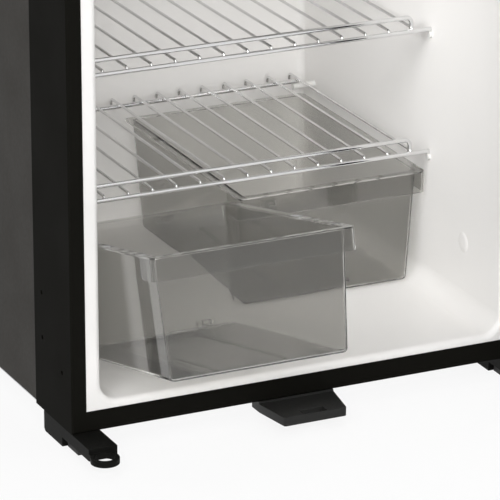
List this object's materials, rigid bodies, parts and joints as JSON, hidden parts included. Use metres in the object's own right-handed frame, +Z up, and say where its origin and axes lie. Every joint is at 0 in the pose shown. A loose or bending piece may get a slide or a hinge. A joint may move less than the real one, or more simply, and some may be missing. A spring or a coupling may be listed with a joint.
{
  "type": "marine refrigerator",
  "caption": "Built-in boat refrigerator with an open insulated cabinet, wire shelves, sliding clear bins, a freezer box, a hinged door with trays and a compressor bay behind.",
  "frame": {"origin": "middle of the cabinet's underside, on the base pan, half way from the frame's front to the back", "axes": "+X to the right seen from the front, +Y to the back, +Z up; the mouth faces -Y"},
  "size_m": [1.0275, 0.822, 0.8215],
  "materials": {
    "frame_black": "satin",
    "shell_grey": "satin",
    "liner_white": "gloss",
    "bracket_black": "satin",
    "chrome_wire": "polished",
    "smoky_clear": "gloss",
    "white_plastic": "satin",
    "black_plastic": "satin",
    "grey_rubber": "matte",
    "black_rubber": "matte",
    "bright_steel": "satin",
    "zinc_sheet": "satin",
    "guard_black": "satin",
    "compressor_black": "satin",
    "cold_aluminium": "satin",
    "module_aluminium": "satin",
    "copper": "satin",
    "coil_black": "satin",
    "foam": "matte",
    "lens_clear": "gloss"
  },
  "bodies": {
    "cabinet": {"outer_shell": "shell_grey", "base_pan": "zinc_sheet", "back_sheet": "zinc_sheet", "insulation_foam": "foam", "inner_liner": "liner_white", "wall_plugs": "liner_white", "front_frame": "frame_black", "left_hinge_bracket": "bracket_black", "right_hinge_bracket": "bracket_black", "lower_hinge_pin": "bright_steel", "upper_hinge_bracket": "bracket_black", "upper_hinge_pin": "bright_steel", "upper_bracket_screws": "bright_steel", "catch_tab": "bracket_black", "foot_pads": "black_rubber", "rear_feet": "black_rubber", "lower_wire_shelf": "chrome_wire", "upper_wire_shelf": "chrome_wire", "shelf_studs": "white_plastic", "evaporator_box": "cold_aluminium", "evaporator_hangers": "white_plastic", "flap_frame": "white_plastic", "tray_rails": "white_plastic", "control_housing": "white_plastic", "lamp_lens": "lens_clear", "compressor": "compressor_black", "compressor_rail": "zinc_sheet", "compressor_grommets": "black_rubber", "control_module": "module_aluminium", "fan_housing": "black_plastic", "condenser_coil": "coil_black", "condenser_wires": "coil_black", "filter_drier": "copper", "discharge_pipe": "copper", "liquid_pipe": "copper", "suction_pipe": "copper", "capillary_pipe": "copper", "rear_guard": "guard_black", "power_gland": "black_plastic"},
    "door": {"door_edge_profile": "frame_black", "door_skin": "shell_grey", "door_foam": "foam", "door_liner": "liner_white", "door_gasket": "grey_rubber", "door_bottle_shelf": "smoky_clear", "door_upper_shelf": "smoky_clear", "bottle_rail": "chrome_wire", "door_bushes": "white_plastic", "door_handle": "black_plastic", "bolt_guide": "black_plastic"},
    "door_bolt": {"door_bolt": "black_plastic"},
    "left_bin_glides": {"left_bin_glides": "white_plastic"},
    "left_bin": {"left_bin": "smoky_clear"},
    "right_bin_glides": {"right_bin_glides": "white_plastic"},
    "right_bin": {"right_bin": "smoky_clear"},
    "freezer_flap": {"freezer_flap": "white_plastic"},
    "drip_tray": {"drip_tray": "smoky_clear"},
    "thermostat_knob": {"thermostat_knob": "black_plastic"},
    "fan_rotor": {"fan_rotor": "black_plastic"}
  },
  "joints": [
    {"name": "door_swing", "type": "hinge", "parent": "cabinet", "child": "door", "pos_m": [0.25, -0.361, 0.4], "axis": [0, 0, 1], "range_deg": [-180, 0]},
    {"name": "left_bin_pull", "type": "slide", "parent": "cabinet", "child": "left_bin_glides", "axis": [0, -1, 0], "range_m": [-0.322, 0]},
    {"name": "left_bin_tip", "type": "hinge", "parent": "left_bin_glides", "child": "left_bin", "pos_m": [-0.114, -0.16, 0.0355], "axis": [-1, 0, 0], "range_deg": [-13, 0]},
    {"name": "right_bin_pull", "type": "slide", "parent": "cabinet", "child": "right_bin_glides", "axis": [0, -1, 0], "range_m": [0, 0.322]},
    {"name": "right_bin_tip", "type": "hinge", "parent": "right_bin_glides", "child": "right_bin", "pos_m": [0.114, 0.162, 0.0355], "axis": [-1, 0, 0], "range_deg": [0, 13]},
    {"name": "freezer_flap_swing", "type": "hinge", "parent": "cabinet", "child": "freezer_flap", "pos_m": [-0.188, -0.062, 0.67], "axis": [0, 0, -1], "range_deg": [0, 88]},
    {"name": "drip_tray_slide", "type": "slide", "parent": "cabinet", "child": "drip_tray", "axis": [0, -1, 0], "range_m": [0, 0.2]},
    {"name": "thermostat_turn", "type": "hinge", "parent": "cabinet", "child": "thermostat_knob", "pos_m": [0.1955, -0.176, 0.7], "axis": [-1, 0, 0], "range_deg": [0, 270]},
    {"name": "door_bolt_slide", "type": "slide", "parent": "door", "child": "door_bolt", "axis": [0, 0, -1], "range_m": [0, 0.014]},
    {"name": "fan_spin", "type": "hinge", "parent": "cabinet", "child": "fan_rotor", "pos_m": [0.0075, 0.255, 0.047], "axis": [1, 0, 0], "continuous": true}
  ],
  "couplings": [
    {"joint": "left_bin_pull", "follows": "door_swing", "m_per_rad": 0.10249},
    {"joint": "left_bin_tip", "follows": "door_swing", "ratio": 0.07222},
    {"joint": "right_bin_tip", "follows": "right_bin_pull", "rad_per_m": 0.70463}
  ]
}
